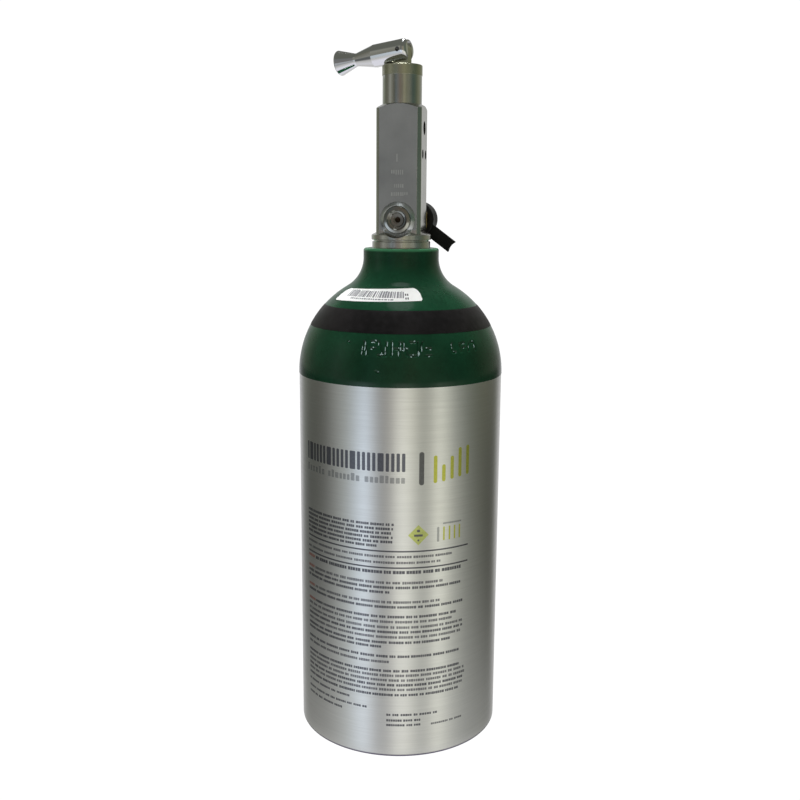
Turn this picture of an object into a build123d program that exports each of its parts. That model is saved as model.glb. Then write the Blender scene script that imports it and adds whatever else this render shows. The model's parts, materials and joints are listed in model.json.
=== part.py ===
from build123d import *
import os
from math import acos, asin, atan2, cos, degrees, radians, sin, sqrt

os.makedirs("parts", exist_ok=True)

# A small aluminium medical oxygen cylinder with a pin-index post valve, a folding toggle lever,
# a front safety plug and a rear fill port under a rubber dust cap. Millimetres.
# Frame: origin at the centre of the base underside, +Z up, +X the valve's outlet face,
# -Y the safety plug's face, +Y the fill port's face.

# ---- Pressure vessel ----
CYL_R = 55.6
WALL = 5.6
BASE_THICK = 9.5
BASE_EDGE_R = 1.5
FOOT_R = 40.0  # inner edge of the ring the cylinder stands on
DISH_DEPTH = 2.0
DISH_SLOPE = 2.0
INNER_CORNER_R = 14.0
SHOULDER_Z = 201.5
SHOULDER_R = 54.2
NECK_FILLET_R = 18.0
NECK_R = 20.2
NECK_TOP = 268.5
NECK_RIM_R = 1.2
NECK_BORE_R = 9.55
SEAL_POCKET_R = 12.2
SEAL_POCKET_DEPTH = 2.7
NECK_SEAL_R = 1.3  # section radius
GAP = 0.05  # between pieces that are assembled tight

# ---- Finish on the shoulder ----
COAT = 0.2
COAT_FROM_Z = 201.2
COAT_INNER_R = 17.6
BAND = 0.12
BAND_Z = (227.5, 238.4)
LABEL = 0.12
LABEL_Z = (242.4, 248.3)
LABEL_START = -145.5  # degrees round from +X
LABEL_SWEEP = 84.0

# ---- Post valve ----
STUB_R = 9.5
STUB_BOTTOM = 249.5
RING_R = 15.7
RING_TOP = 272.3
GROOVE_R = 14.8
FLANGE_BOTTOM = 272.9
FLANGE_R = 16.1
FLANGE_EDGE_Z = 275.9
FLANGE_CONE_R = 11.1
FLANGE_CONE_Z = 278.1
POST_X = 24.1
POST_Y = 22.2
POST_CORNER_R = 15.0
POST_EDGE_R = 0.5
POST_TOP = 343.4
POST_CONE_DROP = 2.4
COLLAR_R = 10.4
COLLAR_TOP = 357.9
EDGE_BREAK = 0.4

INLET_R = 3.0
TUBE_SOCKET_R = 4.0
TUBE_SOCKET_DEPTH = 6.0
SEAT_Z = 302.0
SEAT_LIP_R = 3.9
CHAMBER_FLOOR = 301.4
CHAMBER_R = 6.03
LEDGE_Z = 338.0
PACKING_BORE_R = 7.6
GLAND_THREAD_Z = 347.0
GLAND_THREAD_BORE_R = 8.05

OUTLET_Z = 331.3
OUTLET_R = 3.5
PIN_CIRCLE_R = 14.29
PIN_ANGLE = 18.0  # degrees each side of straight down: the oxygen positions
PIN_HOLE_R = 2.375
PIN_HOLE_DEPTH = 5.5
DIMPLE_Z = 326.0
DIMPLE_R = 4.5
DIMPLE_DEPTH = 3.4

# ---- Pickup tube ----
TUBE_BOTTOM = 214.0
TUBE_R = 3.9
TUBE_BORE_R = 2.4
FILTER_R = 5.0
FILTER_HALF_LENGTH = 5.0

# ---- Safety plug, on the front face ----
PLUG_Z = 283.6
PLUG_PORT_R = 2.6
PLUG_SEAT_Y = 6.3
PLUG_THREAD_R = 4.85
PLUG_SHOULDER_Y = 10.2
PLUG_HEAD_R = 7.3
PLUG_HEAD_Y = 13.9
SPOTFACE_R = 9.5
SPOTFACE_FLOOR_R = 7.6
PLUG_HEX = 3.8  # across flats
PLUG_HEX_DEPTH = 3.3
PLUG_VENT_R = 1.5
DISC_R = 4.7
DISC_THICK = 0.2
GASKET_THICK = 0.6

# ---- Fill port, on the rear face ----
FILL_X = 5.0
FILL_Z = 283.7
FILL_PORT_R = 2.6
FILL_SEAT_Y = 6.0
FILL_THREAD_R = 5.5
FILL_SEAL_THICK = 0.7
NIPPLE_R = 6.2
NIPPLE_TIP_Y = 30.0
NIPPLE_HEX = 14.0  # across flats
NIPPLE_CLEAR_R = 8.7  # room round the hexagon for a socket
NOSE_SEAL_Y = 27.3
NOSE_SEAL_R = 0.7
NOSE_GROOVE_R = 4.7
CHECK_BORE_R = 3.6
CHECK_SEAT_R = 1.9
CHECK_SEAT_Y = 26.0
RETAINER_Y = (8.0, 10.0)
RETAINER_BORE_R = 1.5
POPPET_SHOULDER_Y = 21.5
SPRING_R = 2.4
SPRING_WIRE_R = 0.35
SPRING_TURNS = 6
CAP_R = 9.9
CAP_BORE_R = 6.5
CAP_MOUTH_R = 7.2
CAP_MOUTH_Y = 16.5
CAP_END_Y = 34.0
CAP_FLOOR_Y = 30.8
TAB_Y = 19.0
TAB_WIDTH = 6.9
TAB_THICK = 2.4
TAB_REACH = 25.0
TAB_HOLLOW_R = 6.7  # the tab's end is scooped to this radius
TAB_HOLLOW = 0.7
TAB_ANGLE = -36.5  # degrees from +X, downwards

# ---- Spindle, packing and gland nut ----
STEM_R = 4.5
STEM_BORE_R = 4.58
STEM_TOP = 363.4
STEM_FLANGE_R = 7.3
STEM_FLANGE_THICK = 3.2
DRIVE_SQUARE = 5.0
DRIVE_SOCKET = 5.16
DRIVE_SOCKET_DEPTH = 12.0
DRIVE_BOTTOM = 310.0
TANG_THICK = 4.0
TANG_HALF_WIDTH = 4.3
WASHER_THICK = 0.8
PACKING_THICK = 1.9
PACKING_COUNT = 2
GLAND_R = 10.6
GLAND_TOP = 363.2
GLAND_CHAMFER = 0.35

# ---- Seat plug ----
SEAT_PLUG_R = 5.95
SEAT_PLUG_BOTTOM = 303.0
SEAT_PLUG_TOP = 318.0
SEAT_PLUG_FLATS = 10.0
SEAT_INSERT_R = 4.4

# ---- Toggle lever ----
PIVOT_Z = 370.75
LEVER_SWING = 19.0  # degrees from -X towards +Y
LEVER_DROOP = 6.0  # degrees below the horizontal, just clear of the gland nut
LEVER_R = 5.9
LEVER_END = -4.3
LEVER_END_ROUND = 2.4
LEVER_BODY = 16.5
WAIST_R = 3.45
WAIST_AT = 27.6
WAIST_LENGTH = 1.2
TIP_R = 6.6
TIP_AT = 38.6
TIP_ROUND = 0.8
SLOT_WIDTH = 4.2
SLOT_DEPTH = 6.6
PIN_R = 1.25
PIN_LENGTH = 9.2
PIN_CLEARANCE = 0.06

FRONT = Plane((0, 0, PLUG_Z), x_dir=(1, 0, 0), z_dir=(0, 0, -1))  # y runs out of the front face
REAR = Plane((FILL_X, 0, FILL_Z), x_dir=(1, 0, 0), z_dir=(0, 0, 1))  # y runs out of the rear face
LEFT = Plane((-POST_X / 2, 0, DIMPLE_Z), x_dir=(0, 0, 1), z_dir=(0, -1, 0))  # y runs out of the left face


def turned(points, plane=Plane.XZ, mode=Mode.ADD):
    """Turn a closed outline of (radius, height) points about the plane's y axis."""
    with BuildSketch(plane) as outline:
        with BuildLine():
            Polyline(*points, close=True)
        make_face()
    revolve(outline.sketch, axis=Axis(plane.origin, plane.y_dir), mode=mode)


def finish(part, label):
    part.label = label
    export_step(part, f"parts/{label}.step")


# The shoulder arc and the neck fillet touch on the line between their centres.
shoulder_x = CYL_R - SHOULDER_R
fillet_x = NECK_R + NECK_FILLET_R
fillet_z = SHOULDER_Z + sqrt((SHOULDER_R + NECK_FILLET_R) ** 2 - (fillet_x - shoulder_x) ** 2)
blend_angle = degrees(atan2(fillet_z - SHOULDER_Z, fillet_x - shoulder_x))


def shoulder_angle(z, grow=0.0):
    """Angle on the shoulder arc, grown outwards by grow, at height z."""
    return degrees(asin((z - SHOULDER_Z) / (SHOULDER_R + grow)))


def fillet_angle(z, grow=0.0):
    """Angle on the neck fillet, measured from its own neck side, at height z."""
    return degrees(asin((fillet_z - z) / (NECK_FILLET_R - grow)))


def polar(centre, radius, angle):
    return (centre[0] + radius * cos(radians(angle)), centre[1] + radius * sin(radians(angle)))


def skin_edges(grow, z_low, z_high):
    """The shoulder's outline from z_low to z_high, grown outwards by grow."""
    start = shoulder_angle(z_low, grow)
    on_shoulder = z_high < SHOULDER_Z + (SHOULDER_R + grow) * sin(radians(blend_angle))
    end = shoulder_angle(z_high, grow) if on_shoulder else blend_angle
    CenterArc((shoulder_x, SHOULDER_Z), SHOULDER_R + grow, start, end - start)
    if on_shoulder:
        return polar((shoulder_x, SHOULDER_Z), SHOULDER_R + grow, end)
    stop = fillet_angle(z_high, grow)
    CenterArc((fillet_x, fillet_z), NECK_FILLET_R - grow, 180 + blend_angle, stop - blend_angle)
    return polar((fillet_x, fillet_z), NECK_FILLET_R - grow, 180 + stop)


# ---- Cylinder shell: base, straight wall, shoulder and threaded neck in one piece ----
inner_r = CYL_R - WALL
inner_shoulder_r = SHOULDER_R - WALL
inner_top = degrees(acos((NECK_BORE_R - shoulder_x) / inner_shoulder_r))
with BuildPart() as cylinder_shell:
    with BuildSketch(Plane.XZ):
        with BuildLine():
            Polyline((0, DISH_DEPTH), (FOOT_R - DISH_SLOPE, DISH_DEPTH), (FOOT_R, 0))
            Line((FOOT_R, 0), (CYL_R - BASE_EDGE_R, 0))
            CenterArc((CYL_R - BASE_EDGE_R, BASE_EDGE_R), BASE_EDGE_R, -90, 90)
            Line((CYL_R, BASE_EDGE_R), (CYL_R, SHOULDER_Z))
            skin_edges(0, SHOULDER_Z, fillet_z)
            Line((NECK_R, fillet_z), (NECK_R, NECK_TOP - NECK_RIM_R))
            CenterArc((NECK_R - NECK_RIM_R, NECK_TOP - NECK_RIM_R), NECK_RIM_R, 0, 90)
            Polyline(
                (NECK_R - NECK_RIM_R, NECK_TOP),
                (SEAL_POCKET_R, NECK_TOP),
                (SEAL_POCKET_R, NECK_TOP - SEAL_POCKET_DEPTH),
                (NECK_BORE_R, NECK_TOP - SEAL_POCKET_DEPTH),
                polar((shoulder_x, SHOULDER_Z), inner_shoulder_r, inner_top),
            )
            CenterArc((shoulder_x, SHOULDER_Z), inner_shoulder_r, inner_top, -inner_top)
            Line((inner_r, SHOULDER_Z), (inner_r, BASE_THICK + INNER_CORNER_R))
            CenterArc((inner_r - INNER_CORNER_R, BASE_THICK + INNER_CORNER_R), INNER_CORNER_R, 0, -90)
            Polyline((inner_r - INNER_CORNER_R, BASE_THICK), (0, BASE_THICK), (0, DISH_DEPTH))
        make_face()
    revolve(axis=Axis.Z)
finish(cylinder_shell.part, "cylinder_shell")

# ---- Shoulder coating: the coloured coat over shoulder, neck and rim ----
with BuildPart() as shoulder_coating:
    with BuildSketch(Plane.XZ):
        with BuildLine():
            Polyline((CYL_R, SHOULDER_Z), (CYL_R, COAT_FROM_Z), (CYL_R + COAT, COAT_FROM_Z))
            Line((CYL_R + COAT, COAT_FROM_Z), (CYL_R + COAT, SHOULDER_Z))
            skin_edges(COAT, SHOULDER_Z, fillet_z)
            Line((NECK_R + COAT, fillet_z), (NECK_R + COAT, NECK_TOP - NECK_RIM_R))
            CenterArc((NECK_R - NECK_RIM_R, NECK_TOP - NECK_RIM_R), NECK_RIM_R + COAT, 0, 90)
            Polyline(
                (NECK_R - NECK_RIM_R, NECK_TOP + COAT),
                (COAT_INNER_R, NECK_TOP + COAT),
                (COAT_INNER_R, NECK_TOP),
                (NECK_R - NECK_RIM_R, NECK_TOP),
            )
            CenterArc((NECK_R - NECK_RIM_R, NECK_TOP - NECK_RIM_R), NECK_RIM_R, 90, -90)
            Line((NECK_R, NECK_TOP - NECK_RIM_R), (NECK_R, fillet_z))
            skin_edges(0, SHOULDER_Z, fillet_z)
        make_face()
    revolve(axis=Axis.Z)
finish(shoulder_coating.part, "shoulder_coating")


def skin_face(plane, thick, z_low, z_high):
    """Section of a thin skin that lies on the coat from z_low to z_high."""
    centre = (shoulder_x, SHOULDER_Z)
    with BuildSketch(plane) as section:
        with BuildLine():
            inner_end = skin_edges(COAT, z_low, z_high)
            outer_end = skin_edges(COAT + thick, z_low, z_high)
            Line(inner_end, outer_end)
            Line(
                polar(centre, SHOULDER_R + COAT, shoulder_angle(z_low, COAT)),
                polar(centre, SHOULDER_R + COAT + thick, shoulder_angle(z_low, COAT + thick)),
            )
        make_face()
    return section.sketch


# ---- Black band round the shoulder ----
with BuildPart() as black_band:
    revolve(skin_face(Plane.XZ, BAND, *BAND_Z), axis=Axis.Z)
finish(black_band.part, "black_band")

# ---- Label strip part of the way round the neck ----
with BuildPart() as barcode_label:
    label_start = Plane.XZ.rotated((0, 0, LABEL_START))
    revolve(skin_face(label_start, LABEL, *LABEL_Z), axis=Axis.Z, revolution_arc=LABEL_SWEEP)
finish(barcode_label.part, "barcode_label")

# ---- Valve body: threaded stub, ring, flange, square post and round collar ----
with BuildPart() as valve_body:
    with BuildSketch(Plane.XY.offset(FLANGE_BOTTOM)):
        Circle(POST_CORNER_R)
        Rectangle(POST_X, POST_Y, mode=Mode.INTERSECT)
    extrude(amount=POST_TOP - FLANGE_BOTTOM)
    fillet(valve_body.edges().filter_by(Axis.Z), POST_EDGE_R)
    cone_slope = POST_CONE_DROP / (POST_CORNER_R - COLLAR_R)
    beyond = POST_CORNER_R + 1.5
    beyond_z = POST_TOP - cone_slope * (beyond - COLLAR_R)
    turned([(COLLAR_R, POST_TOP), (beyond, beyond_z), (beyond, POST_TOP + 1), (COLLAR_R, POST_TOP + 1)],
           mode=Mode.SUBTRACT)
    turned([
        (0, STUB_BOTTOM),
        (STUB_R - 0.8, STUB_BOTTOM),
        (STUB_R, STUB_BOTTOM + 0.8),
        (STUB_R, NECK_TOP),
        (RING_R - EDGE_BREAK, NECK_TOP),
        (RING_R, NECK_TOP + EDGE_BREAK),
        (RING_R, RING_TOP - EDGE_BREAK),
        (RING_R - EDGE_BREAK, RING_TOP),
        (GROOVE_R, RING_TOP),
        (GROOVE_R, FLANGE_BOTTOM),
        (FLANGE_R - EDGE_BREAK, FLANGE_BOTTOM),
        (FLANGE_R, FLANGE_BOTTOM + EDGE_BREAK),
        (FLANGE_R, FLANGE_EDGE_Z - EDGE_BREAK),
        (FLANGE_R - EDGE_BREAK, FLANGE_EDGE_Z),
        (FLANGE_CONE_R, FLANGE_CONE_Z),
        (0, FLANGE_CONE_Z),
    ])
    turned([(0, POST_TOP - 1), (COLLAR_R, POST_TOP - 1), (COLLAR_R, COLLAR_TOP), (0, COLLAR_TOP)])
    # Inlet bore, valve seat, plug chamber, packing bore and gland thread, bottom to top.
    turned([
        (0, STUB_BOTTOM),
        (TUBE_SOCKET_R, STUB_BOTTOM),
        (TUBE_SOCKET_R, STUB_BOTTOM + TUBE_SOCKET_DEPTH),
        (INLET_R, STUB_BOTTOM + TUBE_SOCKET_DEPTH),
        (INLET_R, SEAT_Z),
        (SEAT_LIP_R, SEAT_Z),
        (SEAT_LIP_R, CHAMBER_FLOOR),
        (CHAMBER_R, CHAMBER_FLOOR),
        (CHAMBER_R, LEDGE_Z),
        (PACKING_BORE_R, LEDGE_Z),
        (PACKING_BORE_R, GLAND_THREAD_Z),
        (GLAND_THREAD_BORE_R, GLAND_THREAD_Z),
        (GLAND_THREAD_BORE_R, COLLAR_TOP),
        (0, COLLAR_TOP),
    ], mode=Mode.SUBTRACT)
    with BuildSketch(Plane.YZ.offset(POST_X / 2)):
        with Locations((0, OUTLET_Z)):
            Circle(OUTLET_R)
    extrude(amount=-(POST_X / 2 - CHAMBER_R / 2), mode=Mode.SUBTRACT)
    pin_y = PIN_CIRCLE_R * sin(radians(PIN_ANGLE))
    pin_z = OUTLET_Z - PIN_CIRCLE_R * cos(radians(PIN_ANGLE))
    with BuildSketch(Plane.YZ.offset(POST_X / 2)):
        with Locations((-pin_y, pin_z), (pin_y, pin_z)):
            Circle(PIN_HOLE_R)
    extrude(amount=-PIN_HOLE_DEPTH, mode=Mode.SUBTRACT)
    turned([(0, -DIMPLE_DEPTH), (DIMPLE_R, 0), (DIMPLE_R, 1), (0, 1)], LEFT, Mode.SUBTRACT)
    turned([
        (0, INLET_R / 2),
        (PLUG_PORT_R, INLET_R / 2),
        (PLUG_PORT_R, PLUG_SEAT_Y),
        (PLUG_THREAD_R + GAP, PLUG_SEAT_Y),
        (PLUG_THREAD_R + GAP, PLUG_SHOULDER_Y),
        (SPOTFACE_FLOOR_R, PLUG_SHOULDER_Y),
        (SPOTFACE_R, POST_Y / 2),
        (SPOTFACE_R, FLANGE_R + 1),
        (0, FLANGE_R + 1),
    ], FRONT, Mode.SUBTRACT)
    turned([
        (0, -1),
        (FILL_PORT_R, -1),
        (FILL_PORT_R, FILL_SEAT_Y),
        (FILL_THREAD_R + GAP, FILL_SEAT_Y),
        (FILL_THREAD_R + GAP, POST_Y / 2),
        (NIPPLE_CLEAR_R, POST_Y / 2),
        (NIPPLE_CLEAR_R, FLANGE_R + 1),
        (0, FLANGE_R + 1),
    ], REAR, Mode.SUBTRACT)
finish(valve_body.part, "valve_body")

# ---- Neck seal ----
with BuildPart() as neck_o_ring:
    with Locations((0, 0, NECK_TOP - SEAL_POCKET_DEPTH / 2)):
        Torus(STUB_R + NECK_SEAL_R + GAP, NECK_SEAL_R)
finish(neck_o_ring.part, "neck_o_ring")

# ---- Short pickup tube and its sintered inlet filter ----
with BuildPart() as dip_tube:
    turned([
        (TUBE_BORE_R, TUBE_BOTTOM),
        (TUBE_R, TUBE_BOTTOM),
        (TUBE_R, STUB_BOTTOM + TUBE_SOCKET_DEPTH - 0.1),
        (TUBE_BORE_R, STUB_BOTTOM + TUBE_SOCKET_DEPTH - 0.1),
    ])
finish(dip_tube.part, "dip_tube")

with BuildPart() as inlet_filter:
    turned([
        (0, TUBE_BOTTOM - FILTER_HALF_LENGTH),
        (FILTER_R - 1.5, TUBE_BOTTOM - FILTER_HALF_LENGTH),
        (FILTER_R, TUBE_BOTTOM - FILTER_HALF_LENGTH + 1.5),
        (FILTER_R, TUBE_BOTTOM + FILTER_HALF_LENGTH),
        (TUBE_R + GAP, TUBE_BOTTOM + FILTER_HALF_LENGTH),
        (TUBE_R + GAP, TUBE_BOTTOM - GAP),
        (0, TUBE_BOTTOM - GAP),
    ])
finish(inlet_filter.part, "inlet_filter")

# ---- Gland nut: screws into the collar and holds the packing down ----
with BuildPart() as gland_nut:
    turned([
        (STEM_BORE_R, GLAND_THREAD_Z + 0.2),
        (GLAND_THREAD_BORE_R - GAP, GLAND_THREAD_Z + 0.2),
        (GLAND_THREAD_BORE_R - GAP, COLLAR_TOP),
        (GLAND_R, COLLAR_TOP),
        (GLAND_R, GLAND_TOP - GLAND_CHAMFER),
        (GLAND_R - GLAND_CHAMFER, GLAND_TOP),
        (STEM_BORE_R, GLAND_TOP),
    ])
finish(gland_nut.part, "gland_nut")

# ---- Valve spindle: square drive, flange, stem and the tang the lever pins to ----
pivot = Vector(0, 0, PIVOT_Z)
lever_flat = Vector(-cos(radians(LEVER_SWING)), sin(radians(LEVER_SWING)), 0)
hinge_dir = Vector(sin(radians(LEVER_SWING)), cos(radians(LEVER_SWING)), 0)
stem_flange_z = LEDGE_Z + 2 * GAP
with BuildPart() as valve_spindle:
    with BuildSketch(Plane.XY.offset(DRIVE_BOTTOM)):
        Rectangle(DRIVE_SQUARE, DRIVE_SQUARE, rotation=-LEVER_SWING)
    extrude(amount=stem_flange_z - DRIVE_BOTTOM)
    turned([
        (0, stem_flange_z),
        (STEM_FLANGE_R, stem_flange_z),
        (STEM_FLANGE_R, stem_flange_z + STEM_FLANGE_THICK),
        (STEM_R, stem_flange_z + STEM_FLANGE_THICK),
        (STEM_R, STEM_TOP),
        (0, STEM_TOP),
    ])
    tang_plane = Plane(pivot, x_dir=lever_flat, z_dir=hinge_dir)
    with BuildSketch(tang_plane):
        Circle(TANG_HALF_WIDTH)
        with Locations((0, (STEM_TOP - PIVOT_Z) / 2)):
            Rectangle(2 * TANG_HALF_WIDTH, PIVOT_Z - STEM_TOP)
        Circle(PIN_R + PIN_CLEARANCE, mode=Mode.SUBTRACT)
    extrude(amount=TANG_THICK / 2, both=True)
finish(valve_spindle.part, "valve_spindle")

# ---- Thrust washer, packing rings and follower under the gland nut ----
washer_z = stem_flange_z + STEM_FLANGE_THICK + 2 * GAP
packing_z = washer_z + WASHER_THICK + 2 * GAP
packing_pitch = PACKING_THICK + 2 * GAP
follower_z = packing_z + PACKING_COUNT * packing_pitch
packing_outer_r = PACKING_BORE_R - GAP


def washer(height, thick, inner_r=STEM_BORE_R, outer_r=packing_outer_r, plane=Plane.XZ):
    top = height + thick
    turned([(inner_r, height), (outer_r, height), (outer_r, top), (inner_r, top)], plane)


with BuildPart() as thrust_washer:
    washer(washer_z, WASHER_THICK)
finish(thrust_washer.part, "thrust_washer")

with BuildPart() as packing_rings:
    for ring in range(PACKING_COUNT):
        washer(packing_z + ring * packing_pitch, PACKING_THICK)
finish(packing_rings.part, "packing_rings")

with BuildPart() as packing_follower:
    washer(follower_z, GLAND_THREAD_Z + GAP - follower_z)
finish(packing_follower.part, "packing_follower")

# ---- Seat plug: the spindle's square turns it, and it lifts off the seat ----
with BuildPart() as seat_plug:
    with BuildSketch(Plane.XY.offset(SEAT_PLUG_BOTTOM)):
        Circle(SEAT_PLUG_R)
        Rectangle(3 * SEAT_PLUG_R, SEAT_PLUG_FLATS, rotation=-LEVER_SWING, mode=Mode.INTERSECT)
    extrude(amount=SEAT_PLUG_TOP - SEAT_PLUG_BOTTOM)
    with BuildSketch(Plane.XY.offset(SEAT_PLUG_TOP)):
        Rectangle(DRIVE_SOCKET, DRIVE_SOCKET, rotation=-LEVER_SWING)
    extrude(amount=-DRIVE_SOCKET_DEPTH, mode=Mode.SUBTRACT)
finish(seat_plug.part, "seat_plug")

with BuildPart() as seat_insert:
    with BuildSketch(Plane.XY.offset(SEAT_PLUG_BOTTOM)):
        Circle(SEAT_INSERT_R)
    extrude(amount=SEAT_Z + 2 * GAP - SEAT_PLUG_BOTTOM)
finish(seat_insert.part, "seat_insert")

# ---- Safety plug with its burst disc and gasket ----
disc_y = PLUG_SEAT_Y + GAP
gasket_y = disc_y + DISC_THICK + GAP
plug_inner_y = gasket_y + GASKET_THICK + GAP
with BuildPart() as burst_disc:
    with BuildSketch(Plane.XZ.offset(disc_y)):
        with Locations((0, PLUG_Z)):
            Circle(DISC_R)
    extrude(amount=DISC_THICK)
finish(burst_disc.part, "burst_disc")

with BuildPart() as burst_disc_gasket:
    washer(gasket_y, GASKET_THICK, PLUG_PORT_R, DISC_R, FRONT)
finish(burst_disc_gasket.part, "burst_disc_gasket")

with BuildPart() as safety_plug:
    turned([
        (PLUG_VENT_R, plug_inner_y),
        (PLUG_THREAD_R, plug_inner_y),
        (PLUG_THREAD_R, PLUG_SHOULDER_Y),
        (PLUG_HEAD_R, PLUG_SHOULDER_Y),
        (PLUG_HEAD_R, PLUG_HEAD_Y - 0.7),
        (PLUG_HEAD_R - 0.4, PLUG_HEAD_Y - 0.25),
        (5.6, PLUG_HEAD_Y),
        (5.2, PLUG_HEAD_Y),
        (4.7, PLUG_HEAD_Y - 0.5),
        (3.9, PLUG_HEAD_Y - 0.6),
        (3.4, PLUG_HEAD_Y - 1.1),
        (PLUG_VENT_R, PLUG_HEAD_Y - 1.2),
    ], FRONT)
    with BuildSketch(Plane.XZ.offset(PLUG_HEAD_Y)):
        with Locations((0, PLUG_Z)):
            RegularPolygon(PLUG_HEX / 2, 6, major_radius=False, rotation=30)
    extrude(amount=-PLUG_HEX_DEPTH, mode=Mode.SUBTRACT)
finish(safety_plug.part, "safety_plug")

# ---- Fill nipple with its check valve ----
nipple_inner_y = FILL_SEAT_Y + FILL_SEAL_THICK + 2 * GAP
with BuildPart() as fill_nipple:
    turned([
        (CHECK_BORE_R, nipple_inner_y),
        (FILL_THREAD_R, nipple_inner_y),
        (FILL_THREAD_R, 13.0),
        (NIPPLE_R, 13.0),
        (NIPPLE_R, 19.0),
        (5.3, 19.6),
        (5.3, 21.6),
        (NIPPLE_R, 22.2),
        (NIPPLE_R, 25.4),
        (5.6, 26.0),
        (5.6, NOSE_SEAL_Y - 0.8),
        (NOSE_GROOVE_R, NOSE_SEAL_Y - 0.8),
        (NOSE_GROOVE_R, NOSE_SEAL_Y + 0.8),
        (5.6, NOSE_SEAL_Y + 0.8),
        (5.6, 29.4),
        (5.0, NIPPLE_TIP_Y),
        (CHECK_SEAT_R, NIPPLE_TIP_Y),
        (CHECK_SEAT_R, CHECK_SEAT_Y + CHECK_BORE_R - CHECK_SEAT_R),
        (CHECK_BORE_R, CHECK_SEAT_Y),
    ], REAR)
    with BuildSketch(Plane.XZ.offset(-POST_Y / 2)):
        with Locations((FILL_X, FILL_Z)):
            RegularPolygon(NIPPLE_HEX / 2, 6, major_radius=False, rotation=30)
            Circle(FILL_THREAD_R - 0.5, mode=Mode.SUBTRACT)
    extrude(amount=-2.3)
finish(fill_nipple.part, "fill_nipple")

with BuildPart() as fill_nipple_seal:
    washer(FILL_SEAT_Y + GAP, FILL_SEAL_THICK, FILL_PORT_R, FILL_THREAD_R - GAP, REAR)
finish(fill_nipple_seal.part, "fill_nipple_seal")

with BuildPart() as nipple_o_ring:
    with Locations(Location((FILL_X, NOSE_SEAL_Y, FILL_Z), (90, 0, 0))):
        Torus(NOSE_GROOVE_R + NOSE_SEAL_R + GAP, NOSE_SEAL_R)
finish(nipple_o_ring.part, "nipple_o_ring")

with BuildPart() as fill_check_retainer:
    washer(RETAINER_Y[0], RETAINER_Y[1] - RETAINER_Y[0], RETAINER_BORE_R, CHECK_BORE_R - GAP, REAR)
finish(fill_check_retainer.part, "fill_check_retainer")

with BuildPart() as fill_check_poppet:
    turned([
        (0, 16.5),
        (1.3, 16.5),
        (1.3, POPPET_SHOULDER_Y),
        (3.3, POPPET_SHOULDER_Y),
        (3.3, 26.1),
        (1.45, 27.95),
        (1.45, 29.0),
        (0, 29.0),
    ], REAR)
finish(fill_check_poppet.part, "fill_check_poppet")

spring_start = RETAINER_Y[1] + SPRING_WIRE_R + 2 * GAP
spring_height = POPPET_SHOULDER_Y - SPRING_WIRE_R - 2 * GAP - spring_start
with BuildPart() as fill_check_spring:
    with BuildLine():
        coil = Helix(
            spring_height / SPRING_TURNS,
            spring_height,
            SPRING_R,
            center=(FILL_X, spring_start, FILL_Z),
            direction=(0, 1, 0),
        )
    with BuildSketch(Plane(coil @ 0, z_dir=coil % 0)):
        Circle(SPRING_WIRE_R)
    sweep(path=coil, is_frenet=True)
finish(fill_check_spring.part, "fill_check_spring")

# ---- Rubber dust cap with its pull tab ----
with BuildPart() as dust_cap:
    turned([
        (CAP_MOUTH_R, CAP_MOUTH_Y),
        (CAP_R - 0.5, CAP_MOUTH_Y),
        (CAP_R, CAP_MOUTH_Y + 0.5),
        (CAP_R, CAP_END_Y - 1.5),
        (CAP_R - 1.5, CAP_END_Y),
        (0, CAP_END_Y),
        (0, CAP_FLOOR_Y),
        (CAP_BORE_R, CAP_FLOOR_Y),
        (CAP_BORE_R, CAP_MOUTH_Y + 1.2),
    ], REAR)
    tab_dir = (cos(radians(TAB_ANGLE)), 0, sin(radians(TAB_ANGLE)))
    tab_plane = Plane((FILL_X, TAB_Y, FILL_Z), x_dir=tab_dir, z_dir=(0, -1, 0))
    tab_from = CAP_R - 1.5
    with BuildSketch(tab_plane):
        with Locations(((tab_from + TAB_REACH) / 2, 0)):
            Rectangle(TAB_REACH - tab_from, TAB_WIDTH)
        with Locations((TAB_REACH + TAB_HOLLOW_R - TAB_HOLLOW, 0)):
            Circle(TAB_HOLLOW_R, mode=Mode.SUBTRACT)
    extrude(amount=TAB_THICK / 2, both=True)
finish(dust_cap.part, "dust_cap")

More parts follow.
